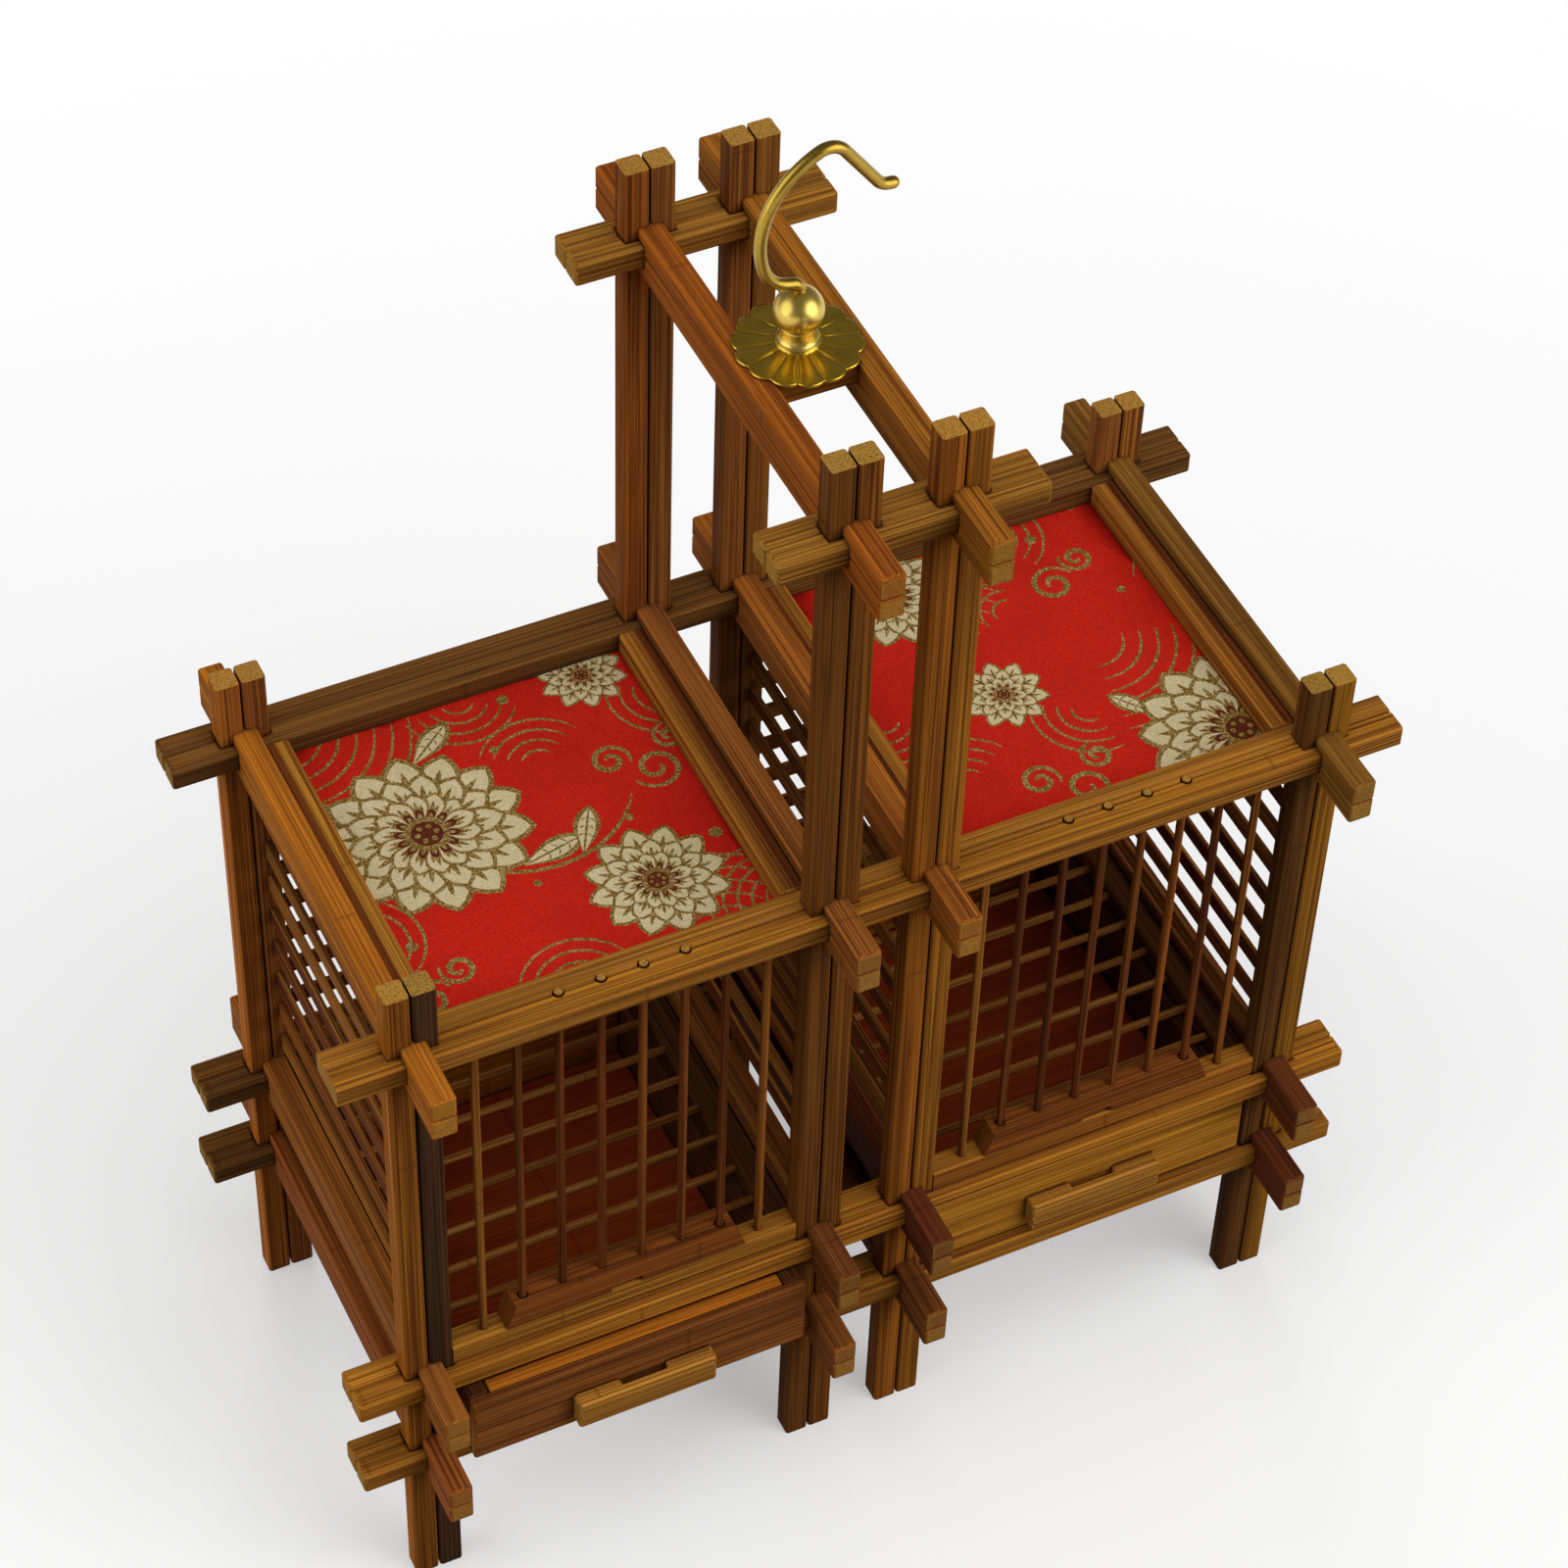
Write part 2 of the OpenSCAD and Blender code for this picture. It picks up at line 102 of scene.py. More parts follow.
def noise(tree, place, detail=2.0, roughness=0.5):
    ins = {"Vector": place, "Scale": 1.0, "Detail": detail, "Roughness": roughness}
    return add(tree, "ShaderNodeTexNoise", ins).outputs["Fac"]


def bumped(tree, height, depth, strength):
    ins = {"Height": height, "Distance": depth, "Strength": strength}
    return add(tree, "ShaderNodeBump", ins).outputs["Normal"]


def ramp(tree, value, colours):
    node = add(tree, "ShaderNodeValToRGB", {"Fac": value})
    stops = node.color_ramp.elements
    for i, colour in enumerate(colours):
        at = i / max(1, len(colours) - 1)
        stop = stops[i] if i < 2 else stops.new(at)
        stop.position = at
        stop.color = linear(colour)
    return node.outputs["Color"]


# bamboo: fibres along the stick, darker veins, speckled ends, a growth ring here and there

bambooLook = {
    # width across the stick, length along it, detail and roughness of the noise
    "fibre": (0.62 * mm, 95 * mm, 2.0, 0.55), "hair": (0.26 * mm, 60 * mm, 1.0, 0.5),
    "vein": (1.5 * mm, 210 * mm, 1.5, 0.5), "band": (3.4 * mm, 80 * mm, 2.0, 0.5),
    "grainShift": (0.7, 0.9, 1.1),  # metres, so that no two sticks are alike
    # what a tone is multiplied by
    # the last tint on the next line is for the painted shade in grooves and joints
    "darkFibre": (0.4, 0.3, 0.2), "lightFibre": (1.65, 1.7, 1.7), "paintedShadeTint": (0.16, 0.11, 0.08),
    "darkSkin": (0.42, 0.24, 0.2), "paleLeftTint": (1.75, 1.7, 1.4),
    # where a mark starts and ends on its scale, and its strength there and there
    "lightMarks": (0.48, 0.66, 0.0, 0.8), "darkMarks": (0.47, 0.34, 0.0, 0.85),
    "bandMarks": (0.5, 0.72, 0.0, 0.55), "veinEdge": (0.004, 0.03, 1.0, 0.0),
    "veinDepth": (0.0, 1.0, 0.4, 0.9), "hairShade": (0.3, 0.7, 0.74, 1.28),
    # the edge patches on the next line lighten edges partly as scuffing and partly as painted highlight
    "speckles": (0.2, 0.5, 0.6, 0.0), "litAndScuffedPatch": (0.3, 0.6, 1.0, 0.3),
    # the first entry on the next line is the painted shade in grooves and joints, by ambient occlusion
    "paintedShade": (0.75, 0.3, 0.0, 0.85), "roughness": (0.3, 0.7, 0.56, 0.4),
    # where the paler left face, cut end and rounded edge start and are full, by the way a face looks
    "leftFacing": (0.7, 0.9), "endFacing": (0.75, 0.9), "edgeFacing": (0.97, 0.85),
    # the edge share on the next line is partly scuffing and partly painted highlight
    "ringShare": 0.5, "litAndScuffedShare": 0.65, "dust": 0.025, "boardFigure": 0.25,
    # how pale the cut ends are, by the way the stick runs
    "paleEnd": {"X": (0.3, 0.6), "Y": (0.0, 0.5), "Z": (0.55, 0.65), "doorStrip": (0.0, 0.1)},
    "pith": "#b58a3a", "dustTone": "#a39683", "drawerSideTone": "#4d2609",
    "speckle": 0.6 * mm, "ringEvery": 210 * mm, "ringWidth": 0.7 * mm, "ringSpread": 3.0,
    # the first entry on the next line is how far ambient occlusion looks for the painted shade
    "shadeReach": 1.6 * mm, "skinWidth": 2.4 * mm, "skinBlur": 0.2 * mm, "drawerSide": 5.5 * mm,
    "bump": 0.14 * mm, "bumpStrength": 0.6, "veinGroove": 0.5, "shine": 0.004,
}

bambooTones = {
    "longRail": ["#8b5516", "#935f1b", "#86531a", "#8f5a14"],
    "rearRail": ["#5d3b18", "#664016", "#573514"],
    "handleEnd": ["#8a5c1d", "#815318"],
    # brighter tones for the front floor rail are painted light, lifting the shadow it lies in
    "litFloorRail": ["#9a6018", "#a3691e", "#955b16"],
    "slat": ["#4e1f0c", "#8f5a1f", "#56240f", "#9a6526", "#7a3d10", "#5a2a10"],
    "bar": ["#774012", "#552809", "#70360d", "#855318", "#602f0e"],
    "floorBar": ["#95602a", "#824c1c", "#9b6a30"],
    "sill": ["#8a5216", "#96621c"],
    "doorStrip": ["#713a0c", "#7a4010"],
    "redFace": ["#774216", "#774216"],
    "goldFace": ["#b0751f", "#b0751f"],
    "pull": ["#a06b28", "#99651f"],
    "drawerWall": ["#a05a10", "#aa640f", "#8f4c0e"],
    "drawerBottom": ["#9e3c11", "#9e3c11"],
    "board": ["#7a4a1c", "#7a4a1c"],
    "block": ["#84500f", "#84500f"],
    "runner": ["#4c290c", "#56300e"],
}

# left half and right half of posts, side rails and grip
sideTones = {
    "post_front_left_outer": ("#7d480c", "#3e2410"), "post_front_left_inner": ("#63380b", "#683a0b"),
    "post_front_right_inner": ("#854b0d", "#885211"), "post_front_right_outer": ("#55310b", "#7c4e0c"),
    "post_rear_left_outer": ("#8e5018", "#80481a"), "post_rear_left_inner": ("#7f4410", "#7a491a"),
    "post_rear_right_inner": ("#744214", "#744614"), "post_rear_right_outer": ("#7c4818", "#824e18"),
    "left_top_side_rails": ("#9c5a12", "#7e4718"), "right_top_side_rails": ("#8d4f16", "#774e18"),
    "left_floor_side_rails": ("#8c511a", "#673614"), "right_floor_side_rails": ("#5b280f", "#5f2f11"),
    "left_base_side_rails": ("#884718", "#7e4718"), "right_base_side_rails": ("#723f14", "#5e2a0f"),
    "handle_grip_rails": ("#8b490d", "#865012"),
}
# posts whose left face is made paler
paleLeftPosts = ("post_front_left_outer", "post_rear_left_outer")

# part of the node's name, the way its fibres run, its set of tones (none where sideTones has them)
pieceGrain = [
    ("post_", "Z", ""), ("_side_rails", "Y", ""), ("handle_grip_rails", "Y", ""),
    ("rear_base_rail", "X", "rearRail"), ("rear_floor_rail", "X", "rearRail"),
    ("rear_top_rail", "X", "rearRail"), ("handle_end_rails", "X", "handleEnd"),
    ("front_floor_rail", "X", "litFloorRail"), ("_rail", "X", "longRail"),
    ("_rear_slats", "X", "slat"), ("_slats", "Y", "slat"), ("_floor_bars", "X", "floorBar"),
    ("floor_strips", "Y", "runner"), ("drawer_runners", "Y", "runner"), ("door_sills", "X", "sill"),
    ("_still_bars", "Z", "bar"), ("_door_bars", "Z", "bar"), ("_door_strip", "X", "doorStrip"),
    ("_panel_board", "X", "board"), ("_panel_strips", "Y", "sill"),
    ("left_drawer_face", "X", "redFace"), ("right_drawer_face", "X", "goldFace"),
    ("_drawer_walls", "X", "drawerWall"), ("_drawer_bottom", "X", "drawerBottom"),
    ("_drawer_pull", "X", "pull"), ("hook_block", "X", "block"),
]

stickEdge = {"weld": 0.01 * mm, "width": 0.7 * mm, "slatWidth": 0.35 * mm, "segments": 3,
             "flatAngle": 1, "angle": 50}  # degrees


def alongAxis(axis, across, along):
    return tuple(1 / along if letter == axis else 1 / across for letter in "XYZ")


def bambooMaterial(name, axis, tones, middle=0.0, sided=False, crossWall=None, skinEdge=None,
                   litAndScuffedEdges=True, paleEnd=None, paleLeftFace=False, figure=1.0):
    # crossWall and skinEdge are distances from the piece's middle, figure is the strength of the grain
    look = bambooLook
    material, tree, shader = newMaterial(name)
    surface = add(tree, "ShaderNodeTexCoord").outputs
    place, facing = surface["Object"], surface["Normal"]
    stickId = add(tree, "ShaderNodeNewGeometry").outputs["Random Per Island"]
    dice = add(tree, "ShaderNodeTexWhiteNoise", {"W": stickId}, noise_dimensions="1D").outputs
    chance = add(tree, "ShaderNodeSeparateColor", {"Color": dice["Color"]}).outputs
    moved = vectors(tree, "ADD", place, vectors(tree, "MULTIPLY", dice["Color"], look["grainShift"]))
    spot = add(tree, "ShaderNodeSeparateXYZ", {"Vector": place}).outputs
    aside = maths(tree, "SUBTRACT", spot["X"], middle)
    offMiddle = maths(tree, "ABSOLUTE", aside)
    isWall = maths(tree, "GREATER_THAN", offMiddle, crossWall) if crossWall else None

    def byWall(plain, turned):
        # side walls of a drawer run the other way
        if isWall is None:
            return plain
        return add(tree, "ShaderNodeMix", {0: isWall, 4: plain, 5: turned}, data_type="VECTOR").outputs[1]

    def grain(kind):
        across, along, detail, rough = look[kind]
        plain = vectors(tree, "MULTIPLY", moved, alongAxis(axis, across, along))
        turned = vectors(tree, "MULTIPLY", moved, alongAxis("Y", across, along)) if crossWall else None
        return noise(tree, byWall(plain, turned), detail, rough)

    def figured(value, kind):
        start, stop, first, last = look[kind]
        return remap(tree, value, start, stop, first * figure, last * figure)

    fibre, hair, vein, band = grain("fibre"), grain("hair"), grain("vein"), grain("band")

    if sided:
        isRight = maths(tree, "GREATER_THAN", aside, 0.0)
        tone = blend(tree, isRight, linear(tones[0]), linear(tones[1]))
    else:
        tone = ramp(tree, dice["Value"], tones)
    if crossWall:  # the sides of a drawer are darker than its front strip
        tone = blend(tree, isWall, tone, linear(look["drawerSideTone"]))
    dark = tinted(tree, tone, look["darkFibre"])
    light = tinted(tree, tone, look["lightFibre"])
    fromVein = maths(tree, "ABSOLUTE", maths(tree, "SUBTRACT", vein, 0.5))
    veinLine = remap(tree, fromVein, *look["veinEdge"])
    veinDepth = figured(chance["Green"], "veinDepth")
    colour = blend(tree, figured(fibre, "lightMarks"), tone, light)
    colour = blend(tree, figured(fibre, "darkMarks"), colour, dark)
    colour = blend(tree, maths(tree, "MULTIPLY", veinLine, veinDepth), colour, dark)
    colour = blend(tree, figured(band, "bandMarks"), colour, dark)
    colour = vectors(tree, "MULTIPLY", colour, remap(tree, hair, *look["hairShade"]))

    if skinEdge:  # the part towards the rail shows the dark skin of the cane
        isSkin = remap(tree, offMiddle, skinEdge - look["skinBlur"], skinEdge + look["skinBlur"])
        colour = blend(tree, isSkin, colour, tinted(tree, colour, look["darkSkin"]))

    if paleLeftFace:  # the left face is made paler
        leftward = vectors(tree, "DOT_PRODUCT", facing, (-1.0, 0.0, 0.0))
        onLeft = remap(tree, leftward, *look["leftFacing"])
        colour = blend(tree, onLeft, colour, tinted(tree, colour, look["paleLeftTint"]))

    # growth ring at a chance height
    length = maths(tree, "ADD", spot[axis], maths(tree, "MULTIPLY", chance["Red"], look["ringSpread"]))
    turn = maths(tree, "FRACT", maths(tree, "DIVIDE", length, look["ringEvery"]))
    fromRing = maths(tree, "ABSOLUTE", maths(tree, "SUBTRACT", turn, 0.5))
    ringLine = remap(tree, fromRing, 0.0, look["ringWidth"] / look["ringEvery"], look["ringShare"], 0.0)
    colour = blend(tree, ringLine, colour, dark)

    if litAndScuffedEdges:  # rounded edges lighter, partly scuffed by use and partly painted highlight: faces that look along no axis are the rounded edges
        sides = add(tree, "ShaderNodeSeparateXYZ", {"Vector": vectors(tree, "ABSOLUTE", facing)}).outputs
        square = maths(tree, "MAXIMUM", sides["X"], maths(tree, "MAXIMUM", sides["Y"], sides["Z"]))
        patchy = remap(tree, band, *look["litAndScuffedPatch"])
        edgeLitAndScuffed = maths(tree, "MULTIPLY", remap(tree, square, *look["edgeFacing"]), patchy)
        colour = blend(tree, maths(tree, "MULTIPLY", edgeLitAndScuffed, look["litAndScuffedShare"]), colour, light)

    # speckled end grain
    axisVector = tuple(1.0 if letter == axis else 0.0 for letter in "XYZ")
    onAxis = vectors(tree, "DOT_PRODUCT", facing, byWall(axisVector, (0.0, 1.0, 0.0)))
    isEnd = remap(tree, maths(tree, "ABSOLUTE", onAxis), *look["endFacing"])
    cell = vectors(tree, "MULTIPLY", place, alongAxis(axis, look["speckle"], 1.0))
    ins = {"Vector": cell, "Scale": 1.0, "Randomness": 0.85}
    dots = add(tree, "ShaderNodeTexVoronoi", ins).outputs["Distance"]
    pale = remap(tree, chance["Green"], 0.0, 1.0, *(paleEnd or look["paleEnd"][axis]))
    pith = blend(tree, pale, tone, linear(look["pith"]))
    colour = blend(tree, isEnd, colour, blend(tree, remap(tree, dots, *look["speckles"]), pith, dark))

    # painted shade: grooves and joints darkened where ambient occlusion finds them closed in; a thin film
    # of dust all over
    occlusion = add(tree, "ShaderNodeAmbientOcclusion", {"Distance": look["shadeReach"]}, samples=6).outputs["AO"]
    colour = blend(tree, remap(tree, occlusion, *look["paintedShade"]), colour, tinted(tree, tone, look["paintedShadeTint"]))
    colour = blend(tree, look["dust"], colour, linear(look["dustTone"]))

    height = maths(tree, "SUBTRACT", fibre, maths(tree, "MULTIPLY", veinLine, look["veinGroove"]))
    feed(tree, shader, {
        "Base Color": colour,
        "Roughness": remap(tree, fibre, *look["roughness"]),
        "Specular IOR Level": look["shine"],
        "Normal": bumped(tree, height, look["bump"], look["bumpStrength"]),
    })
    return material


def softenEdges(obj, width):
    weld = obj.modifiers.new("weld", "WELD")
    weld.merge_threshold = stickEdge["weld"]
    flat = obj.modifiers.new("flat", "DECIMATE")
    flat.decimate_type = "DISSOLVE"
    flat.angle_limit = math.radians(stickEdge["flatAngle"])
    bevel = obj.modifiers.new("soft edge", "BEVEL")
    bevel.width = width
    bevel.segments = stickEdge["segments"]
    bevel.limit_method = "ANGLE"
    bevel.angle_limit = math.radians(stickEdge["angle"])


def dressBamboo():
    look, made = bambooLook, {}
    for name, obj in nodes.items():
        kind = next((k for k in pieceGrain if k[0] in name), None)
        if kind is None:
            continue
        _, axis, toneSet = kind
        low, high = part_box(name)
        middle, half = (low.x + high.x) / 2, (high.x - low.x) / 2
        options = {}
        if name in sideTones:
            options = {"middle": middle, "sided": True, "paleLeftFace": name in paleLeftPosts}
        elif toneSet == "drawerWall":
            options = {"middle": middle, "crossWall": half - look["drawerSide"]}
        elif "_panel_strips" in name:
            options = {"middle": middle, "skinEdge": half - look["skinWidth"]}
        elif toneSet in ("bar", "floorBar"):
            options = {"litAndScuffedEdges": False}
        elif toneSet == "drawerBottom":
            options = {"figure": look["boardFigure"]}
        elif toneSet == "doorStrip":
            options = {"paleEnd": look["paleEnd"]["doorStrip"]}
        key = name if "middle" in options else toneSet + axis
        if key not in made:
            tones = sideTones.get(name) or bambooTones[toneSet]
            made[key] = bambooMaterial(f"bamboo {key}", axis, tones, **options)
        obj.data.materials.clear()
        obj.data.materials.append(made[key])
        if not name.endswith("_bars"):  # the bars are round
            softenEdges(obj, stickEdge["slatWidth" if name.endswith("_slats") else "width"])
    print("bamboo:", len(made), "finishes")


dressBamboo()


# brass hook

hookLook = {
    # straight run and bend radius in mm, turn in degrees
    "wireBends": [(3.9, 2.2, 82), (0, 8.1, -65), (0, 23.3, -80), (0, 4.7, -80), (13, 4, 49), (2.2, 0, 0)],
    "wireSides": 20, "bendStep": 4, "wireSunk": 4 * mm, "tipAngles": (0, 25, 50, 70, 83),
    "stem": 1.5 * mm, "neck": 3.8 * mm, "foot": 4.9 * mm, "footFlare": 2.7 * mm, "lip": 0.25 * mm,
    "chamfer": 0.1 * mm, "ballSides": 64, "ballSteps": 28, "flareSteps": 8,
    "petals": 14, "petalSides": 16, "petalRings": 14, "petalEnd": 3.75 * mm, "hub": 4.9 * mm,
    "bore": 1.6 * mm, "rim": 0.8 * mm, "thinnest": 0.35 * mm, "hubStep": 0.5 * mm, "dome": 0.18 * mm,
    "groove": 0.42 * mm, "grooveWidth": 0.24 * mm,
    # colour, roughness, lacquer
    "polished": ("#e6c865", 0.33, 0.1), "satin": ("#b4943a", 0.33, 0.08), "brushed": ("#dab23a", 0.3, 0.04),
    "patina": "#8c7024", "patinaMarks": (0.35, 0.7, 0.0, 0.35), "patinaGrain": (220.0, 220.0, 220.0),
    "brushMarks": 60.0, "turnMarks": (90.0, 90.0, 4500.0), "markDepth": 0.01 * mm, "markStrength": 0.04,
    "markRoughness": (-0.03, 0.05), "lacquerRoughness": 0.15,
}


def brassMaterial(kind):
    look = hookLook
    colour, roughness, lacquer = look[kind]
    material, tree, shader = newMaterial(f"{kind} brass")
    place = add(tree, "ShaderNodeTexCoord").outputs["Object"]
    if kind == "brushed":  # fine brush marks from the middle outwards
        spot = add(tree, "ShaderNodeSeparateXYZ", {"Vector": place}).outputs
        turn = maths(tree, "MULTIPLY", maths(tree, "ARCTAN2", spot["Y"], spot["X"]), look["brushMarks"])
        marks = noise(tree, add(tree, "ShaderNodeCombineXYZ", {"X": turn}).outputs[0], 3)
    else:  # fine turning marks round the stem
        marks = noise(tree, vectors(tree, "MULTIPLY", place, look["turnMarks"]))
    patina = noise(tree, vectors(tree, "MULTIPLY", place, look["patinaGrain"]))
    dulled = remap(tree, patina, *look["patinaMarks"])
    smoother, rougher = [roughness + change for change in look["markRoughness"]]
    feed(tree, shader, {
        "Base Color": blend(tree, dulled, linear(colour), linear(look["patina"])),
        "Roughness": remap(tree, marks, 0.3, 0.7, smoother, rougher),
        "Normal": bumped(tree, marks, look["markDepth"], look["markStrength"]),
        "Metallic": 1.0,
        "Coat Weight": lacquer,
        "Coat Roughness": look["lacquerRoughness"],
    })
    return material


def meshObject(name, points, faces, materials, smooth=True):
    mesh = bpy.data.meshes.new(name)
    mesh.from_pydata(points, [], faces)
    mesh.validate()
    work = bmesh.new()
    work.from_mesh(mesh)
    bmesh.ops.recalc_face_normals(work, faces=work.faces[:])
    work.to_mesh(mesh)
    work.free()
    for face in mesh.polygons:
        face.use_smooth = smooth
    for material in materials:
        mesh.materials.append(material)
    obj = bpy.data.objects.new(name, mesh)
    bpy.context.scene.collection.objects.link(obj)
    return obj


def hookPiece(name, points, faces, finish, body, node):
    piece = meshObject(name, points, faces, [finish])
    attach(piece, body)
    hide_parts(node)


def lathe(profile, around):
    # rings of points about Z; a profile end on the axis is one point
    points, rings, faces = [], [], []
    for r, z in profile:
        if r < 1e-7:
            rings.append([len(points)])
            points.append((0, 0, z))
            continue
        rings.append(list(range(len(points), len(points) + around)))
        for k in range(around):
            a = 2 * math.pi * k / around
            points.append((r * math.cos(a), r * math.sin(a), z))
    for a, b in zip(rings, rings[1:]):
        for k in range(around):
            corner = [a[k % len(a)], a[(k + 1) % len(a)], b[(k + 1) % len(b)], b[k % len(b)]]
            faces.append(list(dict.fromkeys(corner)))
    return points, faces


def buildBall(finish):
    # ball on a neck that flares at its foot, and the stem below
    look = hookLook
    low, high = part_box("hook_ball")
    radius = (high.x - low.x) / 2
    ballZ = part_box("hook_wire")[0].z + look["wireSunk"] - radius
    stem, neck, foot, lip, chamfer = [look[k] for k in ("stem", "neck", "foot", "lip", "chamfer")]
    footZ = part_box("hook_rosette")[1].z + chamfer
    profile = [(0, low.z), (stem - 2 * chamfer, low.z), (stem, low.z + 2 * chamfer), (stem, footZ)]
    profile += [(foot - chamfer, footZ), (foot, footZ + chamfer), (foot - chamfer / 2, footZ + lip)]
    for k in range(1, look["flareSteps"] + 1):  # hollow from the foot up to the neck
        a = math.radians(90 * k / look["flareSteps"])
        rise = look["footFlare"] * (1 - math.cos(a))
        profile.append((foot - (foot - neck) * math.sin(a), footZ + lip + rise))
    meet = ballZ - math.sqrt(radius ** 2 - neck ** 2)
    profile += [(neck, meet - lip), (neck - 1.5 * chamfer, meet - chamfer / 2)]
    start = math.asin((meet + chamfer - ballZ) / radius)
    for k in range(look["ballSteps"]):
        a = start + (math.pi / 2 - start) * k / look["ballSteps"]
        profile.append((radius * math.cos(a), ballZ + radius * math.sin(a)))
    profile.append((0, ballZ + radius))
    hookPiece("hookBall", *lathe(profile, look["ballSides"]), finish, "hook", "hook_ball")


def buildWire(finish):
    # wire bent in the plane of the front, with a round tip
    look = hookLook
    low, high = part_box("hook_wire")
    radius = (high.y - low.y) / 2
    path, heading = [Vector((0, 0, low.z))], 90.0
    for run, bend, turn in look["wireBends"]:
        h0 = math.radians(heading)
        if run:
            path.append(path[-1] + Vector((math.cos(h0), 0, math.sin(h0))) * run * mm)
        corner, steps = path[-1].copy(), math.ceil(abs(turn) / look["bendStep"])
        for k in range(1, steps + 1):
            h1 = math.radians(heading + turn * k / steps)
            side = Vector((-math.sin(h0) + math.sin(h1), 0, math.cos(h0) - math.cos(h1)))
            path.append(corner + side * math.copysign(bend * mm, turn))
        heading += turn
    tip = (path[-1] - path[-2]).normalized()
    rings = [(p, radius) for p in path[:-1]]
    for a in map(math.radians, look["tipAngles"]):
        rings.append((path[-1] - tip * radius * (1 - math.sin(a)), radius * math.cos(a)))

    points, faces, around, last = [], [], look["wireSides"], len(rings) - 1
    for i, (p, r) in enumerate(rings):
        ahead = (rings[min(last, i + 1)][0] - rings[max(0, i - 1)][0]).normalized()
        across = Vector((-ahead.z, 0, ahead.x))
        for k in range(around):
            a = 2 * math.pi * k / around
            points.append(p + across * r * math.cos(a) + Vector((0, r * math.sin(a), 0)))
    for i in range(last):
        for k in range(around):
            n = (k + 1) % around
            faces.append([i * around + k, i * around + n, (i + 1) * around + n, (i + 1) * around + k])
    faces.append(list(range(around)))
    faces.append([last * around + k for k in range(around)])
    hookPiece("hookWire", points, faces, finish, "hook", "hook_wire")


def buildRosette(finish):
    # domed petals with a line between each two, round a flat hub
    look = hookLook
    low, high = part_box("hook_rosette")
    hub, bore, rim, petalEnd = [look[k] for k in ("hub", "bore", "rim", "petalEnd")]
    lip, chamfer = look["lip"], look["chamfer"]
    centre = (high.x - low.x) / 2 - petalEnd  # middle of a petal's round end
    halfPetal, perPetal = math.pi / look["petals"], look["petalSides"]
    around = look["petals"] * perPetal
    points, faces = [], []

    def ringPoints(shape):
        # shape takes the angle off the petal's middle and its edge there, and gives radius and height
        first = len(points)
        for k in range(around):
            a = 2 * math.pi * k / around
            off = ((k + perPetal / 2) % perPetal - perPetal / 2) / perPetal * 2 * halfPetal
            edge = centre * math.cos(off) + math.sqrt(petalEnd ** 2 - (centre * math.sin(off)) ** 2)
            r, z = shape(off, edge)
            points.append((r * math.cos(a), r * math.sin(a), z))
        return list(range(first, first + around))

    def petalTop(t):
        # t runs from 0 at the hub to 1 at the edge
        def shape(off, edge):
            r = hub + (edge - hub) * t
            swell = math.sin(math.pi * min(1, t * 0.9 + 0.05))
            lift = look["dome"] * swell * math.cos(off / halfPetal * math.pi / 2)
            fromLine = (halfPetal - abs(off)) * r / look["grooveWidth"]
            line = look["groove"] * math.exp(-fromLine ** 2) * min(1, 4 * t) * (1 - 0.6 * t)
            slope = (high.z - low.z - rim - look["hubStep"]) * (1 - t) ** 1.3
            z = low.z + rim + slope + lift - line
            return r, min(max(z, low.z + look["thinnest"]), high.z)
        return shape

    rings = [ringPoints(lambda off, edge: (bore, low.z)),
             ringPoints(lambda off, edge: (bore, high.z)),
             ringPoints(lambda off, edge: (hub - lip, high.z)),
             ringPoints(lambda off, edge: (hub, high.z - 2 * chamfer))]
    rings += [ringPoints(petalTop(t / look["petalRings"])) for t in range(look["petalRings"] + 1)]
    rings.append(ringPoints(lambda off, edge: (edge - chamfer, low.z)))
    for a, b in zip(rings, rings[1:] + rings[:1]):
        for k in range(around):
            n = (k + 1) % around
            faces.append([a[k], a[n], b[n], b[k]])
    hookPiece("hookRosette", points, faces, finish, "frame", "hook_rosette")


polished, satin, brushed = brassMaterial("polished"), brassMaterial("satin"), brassMaterial("brushed")
buildBall(polished)
buildWire(satin)
buildRosette(brushed)
nodes["hook_nut"].data.materials.clear()
nodes["hook_nut"].data.materials.append(satin)
print("hook: ball, wire, rosette and nut")


# printed cloth on the two tops: blossoms, leaves, waves, clouds and dots in gold, cream and maroon on red

clothLook = {
    "thread": 0.42 * mm, "thickness": 0.3 * mm, "crown": 0.25 * mm, "tuck": 0.3 * mm,
    "red": "#d32716", "redDeep": "#8e1109", "cream": "#d8cba8", "creamDeep": "#a8915c",
    "gold": "#836324", "goldDeep": "#4f3a12", "goldBright": "#d4b878",
    "maroon": "#632c1a", "maroonDeep": "#43180c",
    "fuzzGrain": (1900.0, 1900.0, 1900.0), "driftGrain": (60.0, 60.0, 60.0),
    # where a mark starts and ends on its scale, and its strength there and there
    "weaveLight": (0.15, 0.75, 0.0, 0.4), "fuzzLight": (0.3, 0.7, 0.1, 0.6),
    "driftDeep": (0.35, 0.7, 0.0, 0.25), "fleckMarks": (0.6, 0.85, 0.0, 1.0),
    "fleck": 0.32 * mm, "fleckRoughness": (0.7, 0.35), "fleckMetal": 0.6,
    "roughness": 0.85, "shine": 0.12, "bump": 0.08 * mm, "bumpStrength": 0.5,
}
redCloth, goldPrint, creamPrint, maroonPrint = range(4)

